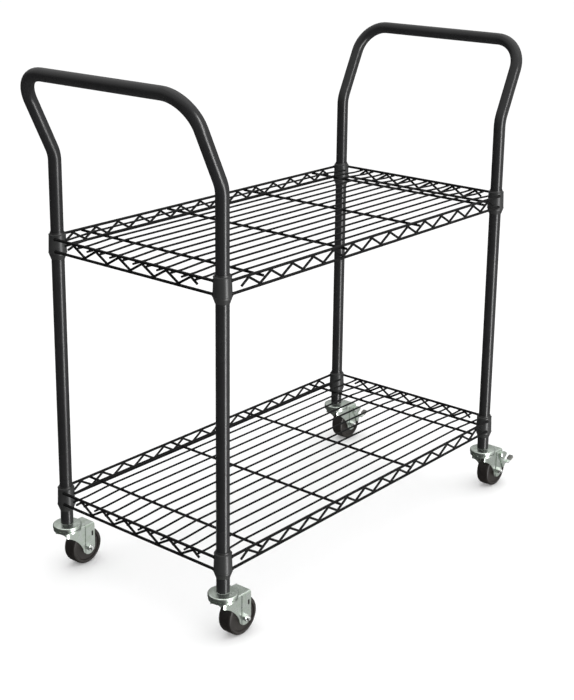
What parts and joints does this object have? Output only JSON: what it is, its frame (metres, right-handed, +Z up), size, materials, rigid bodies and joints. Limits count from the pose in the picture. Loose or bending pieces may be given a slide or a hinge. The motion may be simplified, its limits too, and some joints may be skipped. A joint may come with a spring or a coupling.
{
  "type": "rolling utility cart",
  "caption": "Black wire utility cart: open wire shelves wedged on round posts that bend outward into push handles, on swivel casters with wheel brakes at one end.",
  "frame": {"origin": "on the floor under the middle of the cart, midway between the four posts", "axes": "+X along the cart towards the braked casters, +Y across it, +Z up"},
  "size_m": [1.071, 0.4892, 1.0407],
  "materials": {
    "frame_coat": "semi-gloss black powder coat",
    "wire_coat": "semi-gloss black coated wire",
    "collar_coat": "semi-gloss black powder coat",
    "sleeve_plastic": "black moulded plastic",
    "zinc_steel": "bright zinc plate",
    "bright_steel": "bright plated steel",
    "wheel_rubber": "dark moulded rubber",
    "brake_plastic": "grey moulded plastic"
  },
  "bodies": {
    "cart_frame": {"left_post_frame": "frame_coat", "right_post_frame": "frame_coat", "upper_deck_wires": "wire_coat", "upper_front_truss": "wire_coat", "upper_back_truss": "wire_coat", "upper_left_truss": "wire_coat", "upper_right_truss": "wire_coat", "upper_front_left_collar": "collar_coat", "upper_front_right_collar": "collar_coat", "upper_back_left_collar": "collar_coat", "upper_back_right_collar": "collar_coat", "upper_sleeve_halves": "sleeve_plastic", "lower_deck_wires": "wire_coat", "lower_front_truss": "wire_coat", "lower_back_truss": "wire_coat", "lower_left_truss": "wire_coat", "lower_right_truss": "wire_coat", "lower_front_left_collar": "collar_coat", "lower_front_right_collar": "collar_coat", "lower_back_left_collar": "collar_coat", "lower_back_right_collar": "collar_coat", "lower_sleeve_halves": "sleeve_plastic", "stem_sockets": "sleeve_plastic", "caster_stems": "zinc_steel", "front_left_swivel_cap": "zinc_steel", "front_right_swivel_cap": "zinc_steel", "back_left_swivel_cap": "zinc_steel", "back_right_swivel_cap": "zinc_steel"},
    "front_left_caster": {"front_left_fork": "zinc_steel", "front_left_race_balls": "bright_steel", "front_left_axle_bush": "bright_steel", "front_left_axle_bolt": "bright_steel", "front_left_axle_nut": "bright_steel"},
    "front_left_wheel": {"front_left_wheel": "wheel_rubber"},
    "front_right_caster": {"front_right_fork": "zinc_steel", "front_right_race_balls": "bright_steel", "front_right_axle_bush": "bright_steel", "front_right_axle_bolt": "bright_steel", "front_right_axle_nut": "bright_steel", "front_right_brake_rivets": "bright_steel"},
    "front_right_wheel": {"front_right_wheel": "wheel_rubber"},
    "front_right_brake": {"front_right_brake_lever": "zinc_steel", "front_right_brake_pad": "brake_plastic"},
    "back_left_caster": {"back_left_fork": "zinc_steel", "back_left_race_balls": "bright_steel", "back_left_axle_bush": "bright_steel", "back_left_axle_bolt": "bright_steel", "back_left_axle_nut": "bright_steel"},
    "back_left_wheel": {"back_left_wheel": "wheel_rubber"},
    "back_right_caster": {"back_right_fork": "zinc_steel", "back_right_race_balls": "bright_steel", "back_right_axle_bush": "bright_steel", "back_right_axle_bolt": "bright_steel", "back_right_axle_nut": "bright_steel", "back_right_brake_rivets": "bright_steel"},
    "back_right_wheel": {"back_right_wheel": "wheel_rubber"},
    "back_right_brake": {"back_right_brake_lever": "zinc_steel", "back_right_brake_pad": "brake_plastic"}
  },
  "joints": [
    {"name": "front_left_swivel", "type": "hinge", "parent": "cart_frame", "child": "front_left_caster", "pos_m": [-0.4432, -0.2146, 0.0923], "axis": [0, 0, 1], "continuous": true},
    {"name": "front_left_wheel_spin", "type": "hinge", "parent": "front_left_caster", "child": "front_left_wheel", "pos_m": [-0.4032, -0.2146, 0.0381], "axis": [0, 1, 0], "continuous": true},
    {"name": "front_right_swivel", "type": "hinge", "parent": "cart_frame", "child": "front_right_caster", "pos_m": [0.4432, -0.2146, 0.0923], "axis": [0, 0, 1], "continuous": true},
    {"name": "front_right_wheel_spin", "type": "hinge", "parent": "front_right_caster", "child": "front_right_wheel", "pos_m": [0.4832, -0.2146, 0.0381], "axis": [0, 1, 0], "continuous": true},
    {"name": "front_right_brake_hinge", "type": "hinge", "parent": "front_right_caster", "child": "front_right_brake", "pos_m": [0.4922, -0.2146, 0.0735], "axis": [0, 1, 0], "range_deg": [0, 12]},
    {"name": "back_left_swivel", "type": "hinge", "parent": "cart_frame", "child": "back_left_caster", "pos_m": [-0.4432, 0.2146, 0.0923], "axis": [0, 0, 1], "continuous": true},
    {"name": "back_left_wheel_spin", "type": "hinge", "parent": "back_left_caster", "child": "back_left_wheel", "pos_m": [-0.4032, 0.2146, 0.0381], "axis": [0, 1, 0], "continuous": true},
    {"name": "back_right_swivel", "type": "hinge", "parent": "cart_frame", "child": "back_right_caster", "pos_m": [0.4432, 0.2146, 0.0923], "axis": [0, 0, 1], "continuous": true},
    {"name": "back_right_wheel_spin", "type": "hinge", "parent": "back_right_caster", "child": "back_right_wheel", "pos_m": [0.4832, 0.2146, 0.0381], "axis": [0, 1, 0], "continuous": true},
    {"name": "back_right_brake_hinge", "type": "hinge", "parent": "back_right_caster", "child": "back_right_brake", "pos_m": [0.4922, 0.2146, 0.0735], "axis": [0, 1, 0], "range_deg": [0, 12]}
  ]
}
